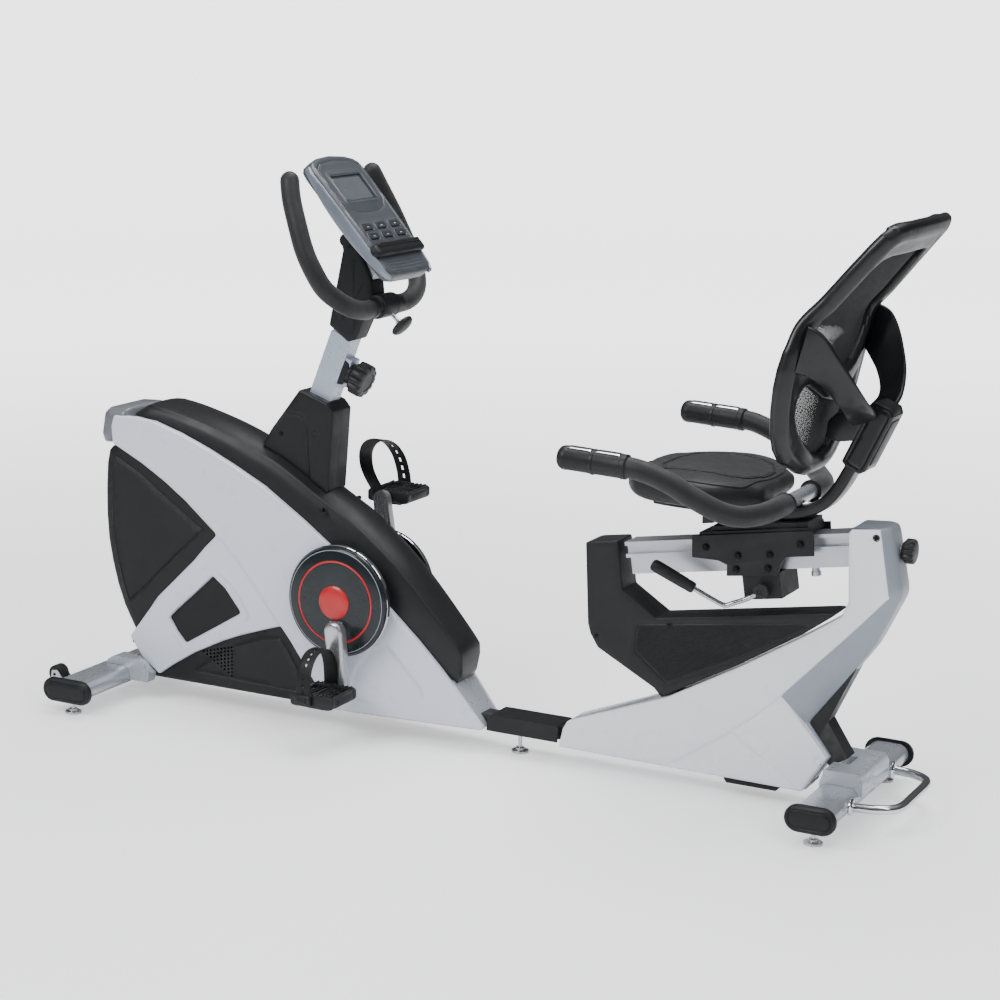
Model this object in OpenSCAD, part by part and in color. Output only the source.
// Recumbent exercise bike, in millimetres.
// +X points to the rear (seat end), -Y is the rider's left side, +Z is up.
// Origin: floor level, middle plane, centre of the middle levelling foot.

/* [Sizes] */
// Half length of the front stabiliser tube
front_stab_half = 262; // [240:1:280]
// Half length of the rear stabiliser tube
rear_stab_half = 222; // [200:1:240]
// Outside half width of the white front casing
casing_half = 78; // [76:1:84]
// Outside half width of the rear housing
housing_half = 42; // [40:1:48]
// Wall thickness of the moulded casings
wall = 3; // [2:0.5:4]

/* [Drive] */
// Crank length, axle to pedal spindle
crank_len = 170; // [160:1:175]
// Radius of the crank disc cover
disc_r = 112; // [100:1:116]
// Radius of the drive pulley on the crank axle
pulley_r = 95; // [85:1:98]
// Radius of the small pulley on the flywheel
small_r = 19; // [15:1:22]
// Radius of the flywheel
flywheel_r = 113; // [95:1:114]
// Radial running clearance of shafts in their bores
run = 0.05; // [0.02:0.01:0.09]

/* [Seat] */
// Incline of the seat rail in degrees
rail_tilt = 9; // [8.5:0.1:9.5]
// Half width of the seat rail
rail_half = 28; // [27:0.5:29]
// Rider's hand grip radius
grip_r = 22; // [20:0.5:23]

/* [Mast] */
// Lean of the console mast from vertical in degrees
mast_lean = 21; // [20.5:0.1:21.5]
// Tilt of the console face from vertical in degrees
face_tilt = 41.4; // [40:0.1:43]

/* [Hidden] */
$fn = 48;

// Fixed points in the side view, [x, z]
crank_c = [-361, 278];
fly_c = [-745, 330];
front_stab = [-904, 51];
rear_stab = [668, 51];
rail_o = [420, 486.8];
mast_o = [-438.8, 700];
face_o = [-350, 1043];
bar_c = [-318, 860];
tilt_c = [-388, 986];
arm_pivot = [-831.8, 226.6];
lever_c = [501, 404];
hinge_c = [541, 571];
wheel_c = [-958, 72];

// Sideways places
wheel_y = 222;
front_feet_y = 247;
rear_feet_y = 204;
belt_y = -47;
pulley_width = 10;

// Shafts
axle_r = 10;
fly_shaft_r = 8;
pin_r = 5;
spindle_r = 6;
bearing_r = 17.5;
roller_pin_r = 4;
lever_shaft_r = 8;
wheel_pin_r = 3;
bar_r = 12.7;
clamp_screw_r = 4;
foot_rod = 4;
foot_rod_gap = 0.3;

// Direction from the crank axle to the left pedal
crank_dir = [21.4, -170.4] / norm([21.4, -170.4]);
left_pedal_c = crank_c + crank_len * crank_dir;
right_pedal_c = crank_c - crank_len * crank_dir;

// Normal of the belt's lower run, and the idler's centre below it
idler_r = 15;
belt_line = fly_c - crank_c;
belt_n = atan2(belt_line[1], belt_line[0]) + acos((pulley_r - small_r) / norm(belt_line));
idler_c = crank_c + (pulley_r + 3 + idler_r) * [cos(belt_n), sin(belt_n)]
  + 140 * [sin(belt_n), -cos(belt_n)];

// Screws, [x, z]
screw_r = 4.5;
small_screw_r = 4;
screw_gap = 0.1;
sunk = 0.4; // depth of the screw heads below the surface
casing_screw_at = [[-412, 452], [-104, 80], [-834, 570], [-868, 120], [-650, 480]];
shell_screw_at = [[149, 76], [432, 52], [618, 94], [694, 518]];
housing_screw_at = [[170, 269], [315, 308]];
boot_screw_at = [[-532, 590], [-440, 545]];

// ---- helpers ----
// Side view outline made solid from y0 to y1
module plate_y(y0, y1)
  translate([0, y1, 0]) rotate([90, 0, 0]) linear_extrude(y1 - y0) children();
// The same, centred on the middle plane
module plate_mid(half) plate_y(-half, half) children();
// Outline in the y-z plane of the current frame, made solid from x0 to x1
module plate_x(x0, x1)
  translate([x0, 0, 0]) rotate([90, 0, 90]) linear_extrude(x1 - x0) children();
// Crosswise cylinder at the side view point [x, z]
module cyl_y(at, y0, y1, radius)
  translate([at[0], y0, at[1]]) rotate([-90, 0, 0]) cylinder(r = radius, h = y1 - y0);
module cyl_mid(at, half, radius) cyl_y(at, -half, half, radius);
module rod(from, to, radius) {
  d = to - from;
  translate(from) rotate([0, acos(d[2] / norm(d)), atan2(d[1], d[0])])
    cylinder(r = radius, h = norm(d));
}

// Flat strip between two points
module strip(from, to, width)
  translate(from) rotate(atan2(to[1] - from[1], to[0] - from[0]))
    translate([0, -width / 2]) square([norm(to - from), width]);
// Strips end to end, with round joints
module strip_path(points, width) for (i = [0:len(points) - 2]) {
  strip(points[i], points[i + 1], width);
  if (i > 0) translate(points[i]) circle(d = width + 0.6);
}
module disc_at(at, radius) translate(at) circle(r = radius);
module oval(width, height) {
  square([width - height, height], center = true);
  for (side = [-1, 1]) translate([side * (width - height) / 2, 0]) circle(d = height, $fn = 40);
}
module rounded(radius) offset(r = radius) offset(delta = -radius) children();

module both_sides() {
  children();
  mirror([0, 1, 0]) children();
}
module at_side(point) translate([point[0], 0, point[1]]) children();
// Rail frame: +x runs up the rail to the rear, z = 0 is the rail's top
module on_rail() at_side(rail_o) rotate([0, -rail_tilt, 0]) children();
// Mast frame: +z runs up the mast
module on_mast() at_side(mast_o) rotate([0, mast_lean, 0]) children();
// Box along the mast, size [x, y], from the given height up
module mast_box(size, low, height)
  on_mast() translate([-size[0] / 2, -size[1] / 2, low]) cube([size[0], size[1], height]);
// Mast knob frame: +z points out of the mast's rear side
module on_mast_knob() on_mast() translate([0, 0, 35]) rotate([0, 90, 0]) children();
// Handlebar clamp frame: +z points down and to the rear
module on_clamp() at_side(bar_c) rotate([0, 131, 0]) children();
// Console frame: +x points out of the face, +z up along the face
module on_face() at_side(face_o) rotate([0, -face_tilt, 0]) children();

function unit(v) = v / norm(v);
function mix(a, b, t) = a + (b - a) * t;
function tangent(points, i) =
  unit(points[min(i + 1, len(points) - 1)] - points[max(i - 1, 0)]);
// Circle of n points about the centre, square to the direction
function ring(centre, direction, ref, radius, n) =
  let (side = unit(cross(ref, direction)), up = cross(direction, side))
  [for (k = [0:n - 1]) centre + radius * (cos(360 * k / n) * side + sin(360 * k / n) * up)];
// Catmull-Rom point between p1 and p2
function catmull_rom(p0, p1, p2, p3, t) = 0.5 * (2 * p1 + (p2 - p0) * t
  + (2 * p0 - 5 * p1 + 4 * p2 - p3) * t * t + (3 * p1 - p0 - 3 * p2 + p3) * t * t * t);
function smooth(points, steps = 2) = let (last = len(points) - 1) [
  for (i = [0:last - 1]) for (j = [0:steps - 1])
    catmull_rom(points[max(i - 1, 0)], points[i], points[i + 1], points[min(i + 2, last)],
      j / steps),
  points[last]];
// Solid skin through rings of equal point count
module loft(rings) {
  n = len(rings[0]);
  m = len(rings);
  polyhedron([for (r = rings) each r], concat(
    [[for (i = [0:n - 1]) i]],
    [[for (i = [n - 1:-1:0]) (m - 1) * n + i]],
    [for (j = [0:m - 2]) for (i = [0:n - 1]) each [
      [j * n + i, (j + 1) * n + (i + 1) % n, j * n + (i + 1) % n],
      [j * n + i, (j + 1) * n + i, (j + 1) * n + (i + 1) % n]]]), convexity = 8);
}
// Round bar along a path
module sweep(path, radius, ref, n)
  loft([for (i = [0:len(path) - 1]) ring(path[i], tangent(path, i), ref, radius, n)]);

// ---- main frame ----
// Steel members in the side view: from, to, width
frame_strips = [
  [[600, 59], [-860, 59], 26], // base beam
  [[-361, 60], [-361, 262], 40], // crank post
  [[-584, 286], [-378, 279], 30],
  [[420, 66], [190, 300], 34], // rail's front leg
  [[190, 288], [176, 420], 30],
  [[560, 66], [700, 380], 34], // rail's rear leg
  [[700, 366], [690, 462], 34],
  [[560, 230], [648, 94], 40]];
frame_gap = 1.2;
frame_cut_half = 21.5; // half width of the openings round the members
module frame_members(grow = 0)
  offset(delta = grow) for (s = frame_strips) strip(s[0], s[1], s[2]);
module frame_cut() plate_mid(frame_cut_half) frame_members(frame_gap);
module frame_hollow() plate_mid(17) difference() {
  offset(delta = -3) frame_members();
  disc_at(crank_c, 22.6);
}

module flywheel_mount() {
  both_sides() plate_y(54, 58) {
    strip([fly_c[0], 46], fly_c, 44);
    disc_at(fly_c, 22);
  }
  translate([fly_c[0] - 22, -58, 46]) cube([44, 116, 26]);
  cyl_mid(fly_c, 54, fly_shaft_r);
}
module idler_mount() {
  plate_y(-34, -30) strip([-505, 60], idler_c, 26);
  translate([-520, -34, 46]) cube([30, 34, 26]);
  cyl_y(idler_c, -50, -30, pin_r);
}
module brake_arm_mount() {
  plate_y(22, 26) strip([-832, 60], arm_pivot, 24);
  translate([-844, 0, 46]) cube([24, 26, 26]);
  cyl_y(arm_pivot, -12, 22, pin_r);
}
module main_frame() color([0.16, 0.17, 0.18]) difference() {
  union() {
    plate_mid(20) frame_members();
    cyl_mid(crank_c, 34, 22);
    mast_box([48, 38], -668, 300);
    flywheel_mount();
    idler_mount();
    brake_arm_mount();
  }
  cyl_mid(crank_c, 60, bearing_r + 0.02);
  frame_hollow();
  translate([0, 0, 30]) cylinder(r = foot_rod + foot_rod_gap, h = 60);
}

// ---- stabilisers ----
stab_height = 40;
stab_wall = 2.5;
module stab_tube(centre, half, width, feet_y) difference() {
  plate_mid(half) translate(centre) oval(width, stab_height);
  plate_mid(half + 1) translate(centre)
    oval(width - 2 * stab_wall, stab_height - 2 * stab_wall);
  both_sides() translate([centre[0], feet_y, 20])
    cylinder(r = foot_rod + foot_rod_gap, h = 30);
}
wheel_bracket = [[-941, 44], [-937, 64], [-951, 82], [-965, 80], [-967, 66], [-952, 48]];
module front_stabiliser() color([0.72, 0.75, 0.8]) {
  stab_tube(front_stab, front_stab_half, 84, front_feet_y);
  // wheel brackets on the front edge
  both_sides() for (dy = [-15.5, 13.5]) difference() {
    plate_y(wheel_y + dy, wheel_y + dy + 2) polygon(wheel_bracket);
    cyl_mid(wheel_c, 300, wheel_pin_r + run);
  }
}
module rear_stabiliser() color([0.72, 0.75, 0.8])
  stab_tube(rear_stab, rear_stab_half, 76, rear_feet_y);

module cap(centre, width, y0)
  both_sides() plate_y(y0, y0 + 13) translate(centre) oval(width, 50);
module stabiliser_caps() color([0.12, 0.13, 0.14]) {
  cap(front_stab, 118, front_stab_half + 0.3);
  cap(rear_stab, 94, rear_stab_half + 0.3);
}

// Collar under the casing arms
module front_collar() difference() {
  plate_mid(104) translate([-870, 58]) oval(112, 62);
  plate_mid(110) translate(front_stab) oval(85, 41);
  plate_mid(76) translate([-862, 20]) square([162, 80]);
  plate_mid(110) translate([front_stab[0], 20]) square([120, 30], center = true);
  plate_mid(110) translate([-1000, 0]) square([300, 42]);
  plate_mid(66) translate([-960, 52]) square([200, 60]);
  plate_mid(90) offset(delta = 1) casing_outline();
}
module rear_saddle() difference() {
  plate_mid(78)
    polygon([[632, 70], [640, 96], [704, 96], [712, 84], [712, 56], [632, 56]]);
  plate_mid(80) translate(rear_stab) oval(76.6, 40.6);
  plate_mid(80) translate([rear_stab[0], 40]) square([76.6, 28], center = true);
  plate_mid(24) polygon([[560, 40], [560, 120], [676, 120], [664, 74], [668, 40]]);
  plate_mid(50) polygon([[560, 30], [560, 130], [646, 130], [634, 60], [634, 30]]);
}
module stabiliser_covers() color([0.78, 0.8, 0.84]) {
  front_collar();
  rear_saddle();
}

// U-shaped bar behind the rear stabiliser, [x, y, z]
rear_handle_path = smooth([
  [706.5, -122, 51], [722, -121, 51], [748, -116, 51], [774, -98, 51], [784, -72, 51],
  [785, -30, 51], [785, 30, 51], [784, 72, 51], [774, 98, 51], [748, 116, 51],
  [722, 121, 51], [706.5, 122, 51]]);
module rear_handle() color([0.85, 0.86, 0.88]) sweep(rear_handle_path, 8.5, [0, 0, 1], 14);

// ---- front casing ----
// Outlines in the side view, [x, z]; the casing band's top edge runs front to rear
band_top = [
  [-895, 599], [-855, 599], [-812, 594], [-748, 575], [-680, 549], [-622, 523],
  [-548, 487], [-455, 427], [-396, 385], [-310, 312], [-256, 265], [-200, 211],
  [-150, 158], [-121, 124], [-89, 84], [-60, 50]];
// Underside of the band, rear to front
band_low = [[-398, 46], [-424, 92], [-461, 142], [-483, 172], [-507, 201]];
// Lower and upper edges of the arm to the front stabiliser
arm_low = [[-544, 189], [-602, 169], [-648, 150], [-718, 115], [-775, 79], [-806, 56]];
arm_up = [[-858, 157], [-829, 195], [-808, 224], [-767, 264], [-717, 313], [-690, 344],
  [-661, 373]];
// Underside of the band in front of the arm
band_mid = [[-704, 408], [-737, 435], [-788, 470], [-845, 503], [-901, 530], [-919, 538]];
casing_window = [
  [-671, 285], [-641, 263], [-622, 240], [-602, 216], [-740, 132], [-761, 155],
  [-780, 183], [-761, 202], [-717, 242]];
nose_points = [
  [-962, 556], [-953, 602], [-941, 614], [-884, 615], [-880, 600], [-866, 575],
  [-930, 537], [-954, 534]];
// Front edge of the fan panels, bottom to top
fan_front = [
  [-852, 108], [-878, 152], [-900, 192], [-917, 236], [-930, 285], [-939, 332],
  [-943, 384], [-943, 442], [-940, 494], [-934, 522]];

module casing_outline() difference() {
  polygon(concat(band_top, [[-66, 44]], band_low, arm_low, [[-846, 84], [-880, 128]],
    arm_up, band_mid, [[-922, 575], [-915, 599]]));
  polygon(casing_window);
}
module fan_outline() polygon(concat(
  [for (p = band_top) if (p[0] > -890) p - [3, 8]],
  [[-72, 45], [-826, 45], [-836, 84]], fan_front, [[-926, 531], [-858, 560]]));
module nose_outline() polygon(nose_points);

// The side panel is straight in front of bend_x and turns inwards behind it
bend_x = -340;
bend_a = 6.5;
panel_edge = 67; // half width at the panel's inner edge
half_gap = 0.3; // from each moulded half to the middle plane
module fore() translate([-1400, -200]) square([1402 + bend_x, 1200]);
module aft() translate([bend_x - 6, -200]) square([900, 1200]);
module bent()
  translate([bend_x, -casing_half, 0]) rotate([0, 0, bend_a])
    translate([-bend_x, casing_half, 0]) children();
// Places a part on the left panel, turned with it behind the bend
module on_panel(point) {
  if (point[0] > bend_x) bent() children();
  else children();
}

module front_panel() difference() {
  plate_y(-casing_half, -panel_edge) intersection() {
    casing_outline();
    fore();
  }
  plate_y(-casing_half + wall, 1 - panel_edge) intersection() {
    offset(delta = -wall) casing_outline();
    translate([8, 0]) fore();
  }
}
module rear_panel() difference() {
  bent() difference() {
    union() {
      plate_y(-casing_half, -panel_edge) intersection() {
        casing_outline();
        aft();
      }
      // lower rear end, closed to the middle plane
      plate_y(-68, -20) intersection() {
        casing_outline();
        translate([-112, 0]) square([100, 200]);
      }
    }
    plate_y(-casing_half + wall, -19) intersection() {
      offset(delta = -wall) casing_outline();
      translate([-20, 0]) aft();
    }
  }
  translate([-200, -half_gap, 0]) cube([200, 40, 300]);
  translate([bend_x - 200, 0.2 - casing_half - 30, 0]) cube([300, 30, 600]);
  plate_y(-34, 1) translate([-130, 40]) square([90, 37]);
}
module nose_half() difference() {
  plate_y(-casing_half, -half_gap) nose_outline();
  plate_y(-casing_half + wall, 1) offset(delta = -wall) nose_outline();
}
module left_casing() color([0.86, 0.87, 0.91]) difference() {
  union() {
    front_panel();
    rear_panel();
    nose_half();
  }
  plate_y(-60, 1) translate([-874, 560]) square([60, 80]);
  for (p = casing_screw_at) on_panel(p) cyl_y(p, -90, -60, screw_r + screw_gap);
  cyl_y(crank_c, -90, -60, 30);
}
module right_casing() color([0.86, 0.87, 0.91]) mirror([0, 1, 0]) left_casing();

fan_half_width = 66.4;
module fan_half() difference() {
  plate_y(-fan_half_width, -half_gap) fan_outline();
  plate_y(wall - fan_half_width, 1) offset(delta = -wall) fan_outline();
  plate_y(-70, 1) offset(delta = 1) nose_outline();
  plate_y(-70, 1) translate([bend_x - 4, 0]) square([400, 700]);
  // open top under the black cover
  plate_y(-60, 1) polygon(concat(
    [for (i = [2:13]) band_top[i] - [6, 26]],
    [for (i = [13:-1:2]) band_top[i] + [20, 44]]));
  cyl_y(crank_c, -70, -60, 30);
  plate_y(-30, 1) offset(delta = 1.5) strip([0, 59], [-90, 59], 26);
  translate([-862, -30, 40]) cube([30, 31, 40]);
  // room for the frame members and the feet of the inner brackets
  plate_y(-frame_cut_half, 1) frame_members(frame_gap);
  translate([-768.5, -59.5, 38]) cube([47, 61, 36]);
  translate([-521.5, -35.5, 38]) cube([33, 37, 36]);
  translate([-846.5, -27.5, 38]) cube([29, 29, 74]);
  // triangle of vent holes
  for (i = [0:5]) for (j = [0:i]) cyl_y([-700 + 16 * i, 64 + 10 * j], -70, -60, 3.4);
}
module fan_panels() color([0.12, 0.125, 0.135]) both_sides() fan_half();

// Top cover: the upper crease and the lower edge, [x, z], front to rear
cover_crease = [
  [-852, 627], [-795, 620], [-729, 605], [-658, 584], [-600, 562], [-523, 530],
  [-423, 471], [-350, 428], [-268, 363], [-214, 311], [-157, 249], [-116, 201],
  [-101, 172]];
cover_edge = concat([[-872, 601]], [for (i = [2:11]) band_top[i] - [0, 4]],
  [[-150, 155], [-124, 129]]);
// Cross section of the cover: outer skin from left to right, then inner skin back
function cover_ring(i) = let (
    c = cover_crease[i],
    e = cover_edge[i],
    edge_half = 66 - 0.122 * max(0, e[0] + 340),
    crease_half = 53 - 0.05 * max(0, c[0] + 340),
    m = mix(e, c, 0.62),
    mid_half = mix(edge_half, crease_half, 0.27),
    skin = 2.4)
  [[e[0], -edge_half, e[1]], [m[0], -mid_half, m[1]], [c[0], -crease_half, c[1]],
   [c[0] + 2, -crease_half / 2, c[1] + 3.4], [c[0] + 2.4, 0, c[1] + 4],
   [c[0] + 2, crease_half / 2, c[1] + 3.4],
   [c[0], crease_half, c[1]], [m[0], mid_half, m[1]], [e[0], edge_half, e[1]],
   [e[0] + 2.4, edge_half - skin, e[1] - 0.4],
   [c[0] - 1.4, crease_half - skin, c[1] - 3.4],
   [c[0] + 0.6, 0, c[1]],
   [c[0] - 1.4, skin - crease_half, c[1] - 3.4],
   [e[0] + 2.4, skin - edge_half, e[1] - 0.4]];
module top_cover() color([0.13, 0.135, 0.145]) difference() {
  loft([for (i = [len(cover_crease) - 1:-1:0]) cover_ring(i)]);
  mast_box([52, 42], -220, 240);
}

boot_half = 38;
boot_points = [
  [-488, 684], [-520, 642], [-556, 596], [-576, 567], [-574, 558.6], [-520, 535.8],
  [-421, 477], [-410, 646], [-424, 662]];
module mast_boot() color([0.12, 0.125, 0.135]) difference() {
  plate_mid(boot_half) polygon(boot_points);
  // hollow, with the top left solid
  difference() {
    plate_mid(boot_half - wall) offset(delta = -wall) polygon(boot_points);
    plate_mid(36) translate([-500, 668]) rotate(-27) square([200, 60], center = true);
  }
  plate_mid(boot_half - wall)
    polygon([[-566, 500], [-566, 566], [-520, 547], [-432, 494], [-432, 440]]);
  mast_box([51.2, 41.2], -220, 260);
  for (p = boot_screw_at) cyl_y(p, -50, -30, small_screw_r + screw_gap);
}

beam_cover_half = 36;
module beam_cover() color([0.11, 0.115, 0.12]) difference() {
  plate_mid(beam_cover_half)
    polygon([[-57, 44], [-57, 70], [-50, 76], [92, 76], [97, 72], [95, 44]]);
  plate_mid(beam_cover_half - wall) translate([-58, 43]) square([156, 30]);
}
module skid_pad() color([0.09, 0.09, 0.1])
  plate_mid(34) polygon([[434, 33], [440, 24], [536, 24], [546, 33]]);

// ---- rear housing ----
// Wide outer part and narrow middle part of each shell, [x, z]
shell_wide = [
  [100, 38], [108, 76], [116, 91], [318, 171], [457, 250], [575, 324], [645, 372],
  [656, 400], [650, 526], [656, 533], [708, 539], [730, 416], [664, 341], [542, 209],
  [632, 104], [588, 34]];
shell_narrow = [
  [100, 38], [108, 80], [116, 95], [318, 175], [457, 254], [575, 328], [645, 376],
  [656, 402], [650, 530], [658, 538], [722, 541], [728, 534], [749, 424], [745, 407],
  [699, 320], [645, 240], [600, 178], [540, 140], [588, 34]];
narrow_half = 24;
rail_knob_z = 497;
module housing_shell() difference() {
  union() {
    plate_y(-housing_half, -half_gap) polygon(shell_wide);
    plate_y(-narrow_half, -half_gap) polygon(shell_narrow);
  }
  plate_y(-housing_half + wall, 1) offset(delta = -wall) polygon(shell_wide);
  plate_y(-narrow_half + wall, 1) offset(delta = -wall) polygon(shell_narrow);
  // openings for the rail, the frame members and the base beam
  on_rail() translate([150, -29, -63]) cube([160, 30, 64.5]);
  plate_y(-frame_cut_half, 1) frame_members(frame_gap);
  translate([90, -37, 44]) cube([40, 38, 40]);
  for (p = shell_screw_at) cyl_y(p, -50, -30, screw_r + screw_gap);
  // rail knob hole
  translate([734, 0, rail_knob_z]) rotate([0, 90, 0]) cylinder(r = 8, h = 30, center = true);
}
module left_rear_shell() color([0.88, 0.89, 0.92]) housing_shell();
module right_rear_shell() color([0.88, 0.89, 0.92]) mirror([0, 1, 0]) housing_shell();

inner_half = 35;
inner_points = [
  [141, 447], [150, 450], [208, 459], [221, 366], [290, 321], [642, 378], [573, 326],
  [455, 252], [316, 173], [311, 171], [172, 245], [156, 270], [150, 290]];
module inner_outline() offset(delta = -1.2) polygon(inner_points);
module inner_housing() color([0.13, 0.135, 0.145]) difference() {
  plate_mid(inner_half) inner_outline();
  plate_mid(inner_half - wall) offset(delta = -wall) inner_outline();
  frame_cut();
  for (p = housing_screw_at) cyl_mid(p, 40, small_screw_r + screw_gap);
}

module casing_screws() color([0.05, 0.05, 0.05]) {
  both_sides() {
    for (p = casing_screw_at) on_panel(p) cyl_y(p, sunk - casing_half, -67.5, screw_r);
    for (p = shell_screw_at) cyl_y(p, sunk - housing_half, -36, screw_r);
    for (p = housing_screw_at) cyl_y(p, sunk - inner_half, -30, small_screw_r);
  }
  for (p = boot_screw_at) cyl_y(p, sunk - boot_half, -33, small_screw_r);
}

// ---- rail and mast post ----
rail_end = 284; // rear end along the rail
module rail_section() difference() {
  translate([-rail_half, -30]) square([2 * rail_half, 30]);
  // hairline slit in the floor of the section
  translate([-rail_half + 4, -27]) square([2 * rail_half - 8 - 24, 0.01]);
  // roller grooves
  for (side = [-1, 1]) translate([side * rail_half, -15]) square([24, 16.2], center = true);
  translate([-13, -26]) square([26, 22]);
}
module rail() color([0.86, 0.87, 0.89]) difference() {
  on_rail() {
    plate_x(-204, rail_end) rail_section();
    // box under the rail, open at its rear end
    difference() {
      translate([-196, -25, -61.5]) cube([rail_end + 196, 50, 32]);
      translate([-190, -22, -58.5]) cube([480, 44, 26]);
    }
    // stop bolts under the rail
    for (x = [-120, 152]) {
      translate([x, 0, -72]) cylinder(r = 7, h = 10.5);
      translate([x, 0, -80]) cylinder(r = 9, h = 8);
    }
  }
  // seat for the frame's rear leg
  plate_mid(frame_cut_half) strip([700, 366], [686, 500], 36.4);
}

module mast_knob_hole() on_mast_knob() cylinder(r = 6.3, h = 60);
module mast_post() color([0.66, 0.7, 0.78]) {
  difference() {
    mast_box([50, 40], -366, 470);
    mast_box([46, 36], -367, 480);
    mast_knob_hole();
  }
  // block on the rear side that carries the knob
  difference() {
    on_mast() translate([25, -17, 5]) cube([14, 34, 60]);
    mast_knob_hole();
  }
}

// ---- belt, bearings and brake unit ----
module belt_loop(gap) hull() {
  translate(crank_c) circle(r = pulley_r + gap, $fn = 90);
  translate(fly_c) circle(r = small_r + gap, $fn = 60);
}
module drive_belt() color([0.1, 0.1, 0.11])
  plate_y(belt_y + 0.5, belt_y + pulley_width - 0.5) difference() {
    belt_loop(2.6);
    belt_loop(0.4);
  }
module crank_bearings() color([0.6, 0.6, 0.62]) both_sides() difference() {
  cyl_y(crank_c, 20, 32, bearing_r);
  cyl_y(crank_c, 19, 33, axle_r + run);
}
module brake_unit() color([0.2, 0.2, 0.22]) {
  translate([-632, -16, 73]) cube([56, 48, 38]);
  rod([-630, 26, 96], [-790, 26, 96], 2);
  translate([-800, 26, 96]) rotate([0, 90, 0]) cylinder(r = 6, h = 12);
}

// ---- cranks ----
module crank_axle() color([0.7, 0.7, 0.72]) cyl_mid(crank_c, 102.8, axle_r);
module drive_pulley() color([0.2, 0.2, 0.21]) difference() {
  union() {
    cyl_y(crank_c, belt_y, belt_y + pulley_width, pulley_r);
    cyl_y(crank_c, belt_y - 6, belt_y + 11.5, 22);
  }
  cyl_y(crank_c, -60, 0, axle_r + run);
  for (a = [0:60:300]) cyl_y(crank_c + 58 * [cos(a), sin(a)], -60, 0, 19);
}
// Copies a left crank part to the right, turned half a turn about the axle
module to_right()
  at_side(crank_c) mirror([0, 1, 0]) rotate([0, 180, 0]) at_side(-crank_c) children();

module disc() difference() {
  union() {
    cyl_y(crank_c, -106, -84, disc_r);
    cyl_y(crank_c, -110, -106, disc_r - 8);
    cyl_y(crank_c, -112, -110, 33);
  }
  cyl_y(crank_c, -103, -83, disc_r - 4);
  // slot for the crank arm
  plate_y(-113, -90) {
    strip(crank_c + [5, -32], crank_c + [12, -82], 38);
    disc_at(crank_c + [5, -32], 19.5);
  }
}
module crank_discs() color([0.15, 0.19, 0.2]) {
  disc();
  to_right() disc();
}

function along_crank(distance) = crank_c + distance * crank_dir;
module arm() {
  difference() {
    union() {
      // outer bar
      plate_y(-128, -112.4) {
        strip(along_crank(42), left_pedal_c, 30);
        disc_at(along_crank(42), 17);
        disc_at(left_pedal_c, 15);
      }
      // step through the disc
      plate_y(-112.4, -89) {
        strip(along_crank(36), along_crank(46), 24);
        disc_at(along_crank(46), 12);
      }
      // inner bar to the axle
      plate_y(-101, -89) {
        strip(crank_c, along_crank(40), 24);
        disc_at(crank_c, 17);
      }
    }
    cyl_y(crank_c, -104.2, -80, axle_r + run);
  }
  cyl_y(left_pedal_c, -232, -128, spindle_r);
}
module crank_arms() color([0.6, 0.62, 0.65]) {
  arm();
  to_right() arm();
}

pedal_points = [[-46, -11], [-40, -14], [40, -14], [48, -8], [48, 9], [40, 13], [-40, 13],
  [-46, 10]];
module pedal_body(at) difference() {
  plate_y(-236.9, -139.1) translate(at) polygon(pedal_points);
  cyl_y(at, -240, -130, spindle_r + run);
  for (x = [-42, 14]) for (y = [-224, -170])
    translate([at[0] + x, y, at[1] - 20]) cube([24, 32, 40]);
}
// Strap over the pedal
module pedal_strap(at) difference() {
  translate([at[0] - 14, 0, at[1]]) plate_x(-14, 14) difference() {
    union() {
      translate([-188, 18]) square([103, 44], center = true);
      translate([-188, 40]) circle(r = 51.5, $fn = 40);
    }
    union() {
      translate([-188, 10]) square([97.4, 90], center = true);
      translate([-188, 40]) circle(r = 48.7, $fn = 40);
    }
    translate([-260, -40]) square([150, 36]);
  }
  cyl_y(at, -240.5, -130, spindle_r + run);
}
module pedal(at) {
  pedal_body(at);
  pedal_strap(at);
}
module left_pedal() color([0.1, 0.1, 0.11]) pedal(left_pedal_c);
module right_pedal() color([0.1, 0.1, 0.11]) mirror([0, 1, 0]) pedal(right_pedal_c);

// ---- flywheel, idler, brake arm ----
module flywheel() color([0.35, 0.36, 0.38]) difference() {
  union() {
    cyl_mid(fly_c, 12, flywheel_r);
    cyl_y(fly_c, -48, 14, 17);
    cyl_y(fly_c, belt_y, belt_y + pulley_width, small_r);
  }
  cyl_mid(fly_c, 60, fly_shaft_r + run);
  // ring-shaped recess in each face
  both_sides() difference() {
    cyl_y(fly_c, 5, 19, flywheel_r - 20);
    cyl_y(fly_c, 4, 20, 30);
  }
}
module idler_pulley() color([0.55, 0.55, 0.58]) difference() {
  cyl_y(idler_c, belt_y, belt_y + pulley_width, idler_r);
  cyl_y(idler_c, -60, 0, pin_r + run);
}
module magnet_arm() color([0.3, 0.3, 0.32]) difference() {
  union() {
    // arc in front of the flywheel, from 146 to 222 degrees
    plate_mid(10) difference() {
      translate(fly_c) circle(r = flywheel_r + 26, $fn = 96);
      translate(fly_c) circle(r = flywheel_r + 5, $fn = 96);
      translate(fly_c) polygon([[0, 0], 300 * [cos(222), sin(222)], [0, -400], [400, -400],
        [400, 400], [-80, 400], 300 * [cos(146), sin(146)]]);
    }
    cyl_mid(arm_pivot, 10, 11);
  }
  cyl_mid(arm_pivot, 20, pin_r + run);
}

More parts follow.
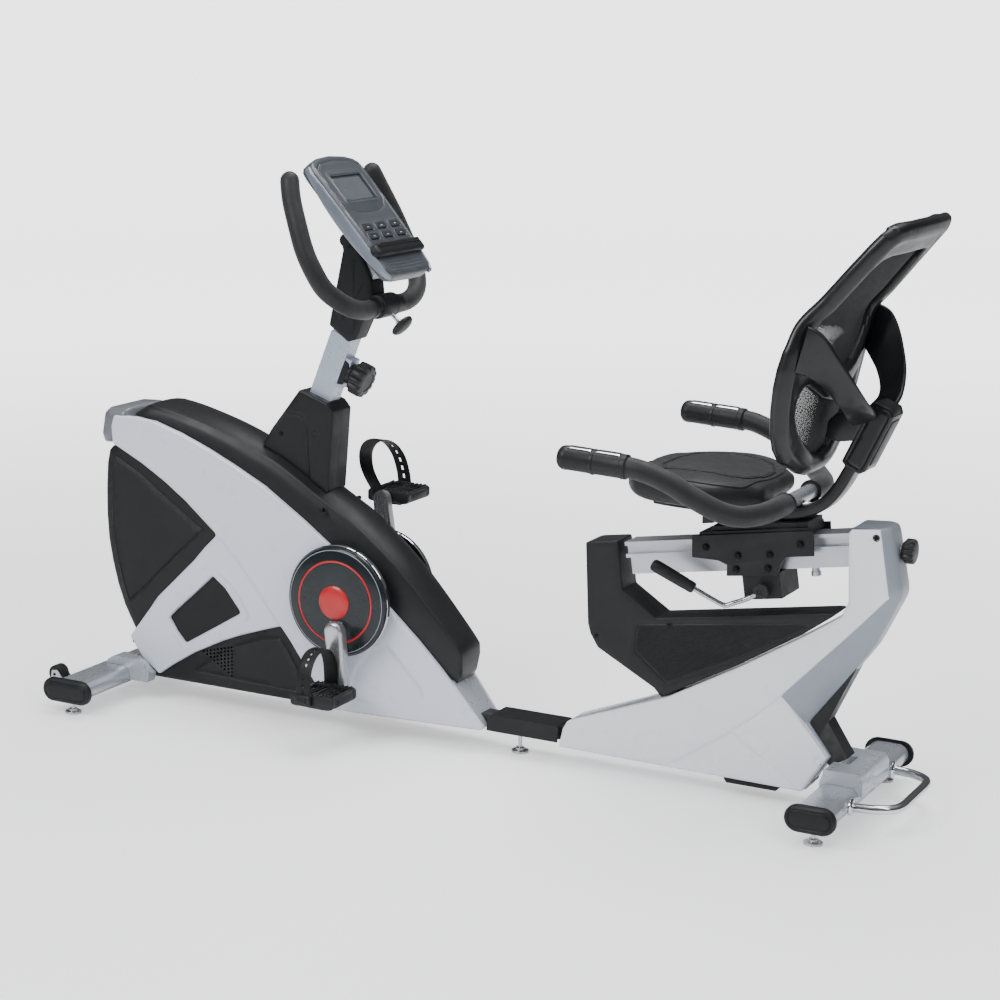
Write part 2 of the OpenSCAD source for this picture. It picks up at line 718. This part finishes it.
// ---- seat ----
front_roller_x = 382;
rear_roller_x = 570;
function roller_c(x) = rail_o + (x - rail_o[0]) * [1, tan(rail_tilt)]
  + 15 * [sin(rail_tilt), -cos(rail_tilt)];
carriage_side = [
  [360, 488], [588, 524], [592, 478], [541, 470], [533, 460], [526, 434], [430, 421],
  [430, 442], [412, 448], [362, 448]];
module carriage() color([0.14, 0.145, 0.155]) difference() {
  union() {
    both_sides() plate_y(45, 50) polygon(carriage_side);
    on_rail() {
      translate([-46, -46, 2]) cube([206, 92, 14]);
      translate([-24, -40, 16]) cube([184, 80, 9]);
      // clamp block under the rail
      translate([28, -46, -112]) cube([72, 92, 48]);
    }
    // roller axles in the side plates
    for (x = [front_roller_x, rear_roller_x])
      both_sides() cyl_y(roller_c(x), 19, 45.5, roller_pin_r);
  }
  cyl_y(lever_c, -60, -20, lever_shaft_r + run);
}
module rollers(x) both_sides() difference() {
  cyl_y(roller_c(x), 19, 43, 7.8);
  cyl_mid(roller_c(x), 50, roller_pin_r + run);
}
module front_rollers() color([0.85, 0.85, 0.8]) rollers(front_roller_x);
module rear_rollers() color([0.85, 0.85, 0.8]) rollers(rear_roller_x);

post_path = [[508, 540.5], [556, 546], [597, 570], [625, 608], [643, 645], [688, 742]];
module seat_post() color([0.13, 0.135, 0.14]) {
  plate_mid(25) strip_path(post_path, 22);
  // plate under the cushion and its two feet
  translate([340, -80, 551]) cube([150, 160, 4]);
  plate_mid(34) polygon([[372, 509], [396, 513], [396, 551.5], [372, 551.5]]);
  plate_mid(34) polygon([[446, 521], [470, 525], [470, 551.5], [446, 551.5]]);
  plate_mid(25) strip([460, 549.5], [514, 541], 7);
  // saddle for the seat handles' cross tube
  difference() {
    plate_mid(12) strip([541, 552], [541, 562], 8);
    cyl_mid(hinge_c, 20, 14.2);
  }
}

// Cushion stations: x, half width, bottom z, top z
cushion_stations = [
  [268, 88, 583, 602], [282, 118, 566, 611], [305, 138, 558, 617], [336, 152, 557, 621],
  [370, 165, 557, 625], [406, 170, 557, 625], [440, 160, 557, 620], [468, 132, 557, 614],
  [490, 104, 559, 608], [503, 92, 568, 603]];
// Cushion section: fraction of half width, fraction of height
cushion_section = [
  [-0.86, 0], [-1, 0.25], [-1, 0.72], [-0.93, 0.9], [-0.6, 1], [0, 0.94],
  [0.6, 1], [0.93, 0.9], [1, 0.72], [1, 0.25], [0.86, 0]];
function cushion_ring(s) =
  [for (p = cushion_section) [s[0], p[0] * s[1], s[2] + p[1] * (s[3] - s[2])]];
module seat_cushion() color([0.1, 0.1, 0.105])
  loft([for (s = cushion_stations) cushion_ring(s)]);

// Left seat handle from the grip back to the cross tube, [x, y, z]
handle_path = smooth([
  [327, -286, 651], [367, -283, 645], [410, -276, 627], [455, -262, 599],
  [487, -240, 580], [515, -205, 569], [534, -160, 569], [541, -110, 571],
  [541, -68, 571]]);
module seat_handles() color([0.14, 0.145, 0.15]) {
  both_sides() {
    sweep(handle_path, 19, [0, 0, 1], 16);
    rod([198, -288, 658], [326, -286, 651.4], grip_r);
  }
  cyl_mid(hinge_c, 67.8, 14);
}

module seat_lever() color([0.12, 0.12, 0.13]) {
  elbow = [438, -74, 371];
  cyl_y(lever_c, -66, -24, lever_shaft_r);
  cyl_y(lever_c, -66, -56, 14);
  rod([lever_c[0] - 8, -61, lever_c[1] - 6], elbow, 5);
  rod(elbow, [374, -84, 402], 5);
  translate(elbow) sphere(r = 5.4);
  rod([380, -83, 399], [304, -95, 437], 11);
}

// ---- backrest ----
// Lower and upper panels lean back by different angles; outlines are [y, z]
module lower_plane() translate([568, 0, 668]) rotate([0, 11.9, 0]) children();
module upper_plane() translate([619, 0, 906]) rotate([0, 38.1, 0]) children();
module lower_shape() rounded(30) polygon([
  [-150, -6], [150, -6], [190, 30], [214, 110], [212, 170], [190, 238],
  [-190, 238], [-212, 170], [-214, 110], [-190, 30]]);
module upper_shape() rounded(26) polygon([
  [-188, 4], [188, 4], [172, 120], [158, 218], [-158, 218], [-172, 120]]);
module lower_hole() rounded(14) polygon([
  [-128, 40], [128, 40], [160, 90], [158, 160], [60, 205],
  [-60, 205], [-158, 160], [-160, 90]]);
module upper_hole() rounded(14) polygon([
  [-146, 20], [146, 20], [132, 120], [120, 166], [-120, 166], [-132, 120]]);
module back_frame() color([0.11, 0.11, 0.115]) {
  lower_plane() plate_x(-15, 13) difference() {
    lower_shape();
    lower_hole();
  }
  upper_plane() plate_x(-15, 15) difference() {
    upper_shape();
    upper_hole();
  }
  // cross bar between the two panels
  cyl_mid([617, 906], 180, 14);
}
module back_mesh() color([0.2, 0.2, 0.21]) {
  lower_plane() plate_x(-3, 0) offset(delta = -0.4) lower_hole();
  upper_plane() plate_x(-3, 0) offset(delta = -0.4) upper_hole();
}

// Left wing from its top end down to the bracket, [x, y, z]
wing_path = smooth([
  [644, -174, 895], [649, -186, 866], [652, -186, 822], [654, -160, 778],
  [648, -110, 742], [638, -60, 716], [630, -30, 704]]);
module back_bracket() color([0.09, 0.09, 0.1]) {
  // sleeve over the seat post
  difference() {
    plate_mid(32) strip([648, 642], [698, 753], 46);
    plate_mid(25.5) strip_path([[597, 570], [625, 608], [643, 645], [688.3, 742.6]], 23);
  }
  both_sides() sweep(wing_path, 11, [0.2, 0.1, 1], 12);
  plate_mid(38) polygon([
    [592, 686], [598, 722], [616, 738], [672, 742], [648, 690], [622, 684]]);
}

// ---- mast and handlebar ----
module mast_tube() color([0.8, 0.82, 0.86]) difference() {
  mast_box([45.2, 35.2], -70, 330);
  mast_box([41.2, 31.2], -71, 332);
}
head_points = [
  [-426, 828], [-428, 816], [-386, 786], [-368, 791], [-350, 830], [-330, 850],
  [-334, 880], [-352, 912], [-362, 962], [-372, 984], [-404, 984], [-398, 966]];
module mast_head() color([0.1, 0.1, 0.105]) difference() {
  union() {
    plate_mid(26) polygon(head_points);
    cyl_mid(bar_c, 33, 24);
  }
  mast_box([45.6, 35.6], 60, 202);
  cyl_mid(bar_c, 40, bar_r + run);
  on_clamp() cylinder(r = clamp_screw_r + run, h = 60);
  cyl_mid(tilt_c, 40, 14);
  on_mast() translate([-60, -60, 60]) cube([200, 120, 45.5]);
}
// Left half of the handlebar from the clamp to its tip, [x, y, z]
bar_path = smooth([
  [-318, -38, 860], [-318, -66, 858], [-317, -98, 861], [-320, -128, 869],
  [-329, -158, 884], [-346, -184, 909], [-364, -195, 944], [-383, -195, 980],
  [-403, -187, 1025], [-424, -174, 1072], [-438, -158, 1118]]);
module handlebar() color([0.1, 0.1, 0.105]) {
  cyl_mid(bar_c, 37.8, bar_r);
  both_sides() sweep(bar_path, 18.5, [1, 0, 0], 16);
}

// ---- console ----
// Button grid and screen recess in the plane of the face, [y, z]
button_y = [-53, 0, 53];
button_z = [-36, -58];
screen_at = [-57.5, 27];
screen_size = [115, 62];
screen_gap = 0.4;
// Face outline with its lower edge at the given height
function face_points(low) =
  [[-98, low], [98, low], [98, 122], [70, 137], [0, 143], [-70, 137], [-98, 122]];
module button_shape(radius) offset(r = radius) square([28.6, 8.6], center = true);
module console() color([0.36, 0.39, 0.43]) {
  on_face() difference() {
    union() {
      plate_x(-22, 0) rounded(16) polygon(face_points(-92));
      plate_x(-34, -12) rounded(10)
        polygon([[-92, -145], [92, -145], [94, -80], [-94, -80]]);
      translate([-34, -40, -110]) cube([16, 80, 150]);
    }
    // inner hollow
    plate_x(-19, -6) offset(delta = -4) polygon(face_points(-88));
    plate_x(-4, 1) translate(screen_at) square(screen_size);
    for (y = button_y) for (z = button_z)
      translate([0, y, z]) plate_x(-4, 1) button_shape(3);
  }
  // reading ledge
  on_face() translate([-8, 0, -92]) rotate([90, 0, 0])
    cylinder(r = 12, h = 172, center = true);
  // hinge barrel and neck
  cyl_mid(tilt_c, 32, 13);
  plate_mid(24) strip(tilt_c, [-360, 1012], 16);
}
module console_screen() color([0.25, 0.28, 0.32]) on_face() plate_x(-3.9, -1)
  translate(screen_at + screen_gap * [1, 1]) square(screen_size - 2 * screen_gap * [1, 1]);
module button(column, row) color([0.16, 0.17, 0.18])
  on_face() translate([0, button_y[column], button_z[row]])
    plate_x(-1.1, 1.4) button_shape(2.6);
module mode_button() button(0, 0);
module up_button() button(1, 0);
module recovery_button() button(2, 0);
module start_button() button(0, 1);
module down_button() button(1, 1);
module reset_button() button(2, 1);

// ---- knobs ----
module fluted(radius, height, flutes) difference() {
  cylinder(r = radius, h = height);
  for (k = [0:flutes - 1]) rotate(360 * k / flutes) translate([radius + 2.2, 0, -1])
    cylinder(r = 5, h = height + 2, $fn = 20);
}
module clamp_knob() color([0.08, 0.08, 0.09]) on_clamp() {
  translate([0, 0, 14]) cylinder(r = clamp_screw_r, h = 34);
  translate([0, 0, 48]) cylinder(r = 12, h = 4);
  translate([0, 0, 52]) cylinder(r = 23, h = 11);
}
module mast_knob() color([0.08, 0.08, 0.09]) on_mast_knob() {
  translate([0, 0, 22.9]) cylinder(r = 6.2, h = 19);
  translate([0, 0, 40]) cylinder(r = 22, h = 6);
  translate([0, 0, 46]) fluted(30, 28, 12);
}
module rail_knob() color([0.08, 0.08, 0.09])
  translate([0, 0, rail_knob_z]) rotate([0, 90, 0]) {
    translate([0, 0, 708]) cylinder(r = 6, h = 36);
    translate([0, 0, 743]) fluted(22, 16, 10);
  }

// ---- wheels and feet ----
module transport_wheels() color([0.15, 0.15, 0.16]) both_sides() {
  cyl_y(wheel_c, wheel_y - 12, wheel_y + 12, 18);
  cyl_y(wheel_c, wheel_y - 18, wheel_y + 18, wheel_pin_r);
}
// Levelling foot at [x, y] with its rod's top at the given height
module foot(at, height) color([0.82, 0.83, 0.85]) translate([at[0], at[1], 0]) {
  cylinder(r = 17, h = 5);
  translate([0, 0, 5]) cylinder(r = 9, h = 5);
  translate([0, 0, 10]) cylinder(r = foot_rod, h = height - 10);
}
module front_left_foot() foot([front_stab[0], -front_feet_y], 44);
module front_right_foot() foot([front_stab[0], front_feet_y], 44);
module rear_left_foot() foot([rear_stab[0], -rear_feet_y], 44);
module rear_right_foot() foot([rear_stab[0], rear_feet_y], 44);
module centre_foot() foot([0, 0], 66);

main_frame();
front_stabiliser();
rear_stabiliser();
stabiliser_caps();
stabiliser_covers();
rear_handle();
left_casing();
right_casing();
fan_panels();
top_cover();
mast_boot();
union() { beam_cover(); skid_pad(); }
left_rear_shell();
right_rear_shell();
inner_housing();
rail();
mast_post();
drive_belt();
crank_bearings();
brake_unit();
casing_screws();
crank_axle();
drive_pulley();
crank_discs();
crank_arms();
left_pedal();
right_pedal();
flywheel();
idler_pulley();
magnet_arm();
carriage();
seat_post();
seat_cushion();
seat_handles();
back_frame();
back_mesh();
back_bracket();
front_rollers();
rear_rollers();
seat_lever();
mast_tube();
mast_head();
handlebar();
console();
console_screen();
mode_button();
up_button();
recovery_button();
start_button();
down_button();
reset_button();
clamp_knob();
mast_knob();
rail_knob();
transport_wheels();
front_left_foot();
front_right_foot();
rear_left_foot();
rear_right_foot();
centre_foot();
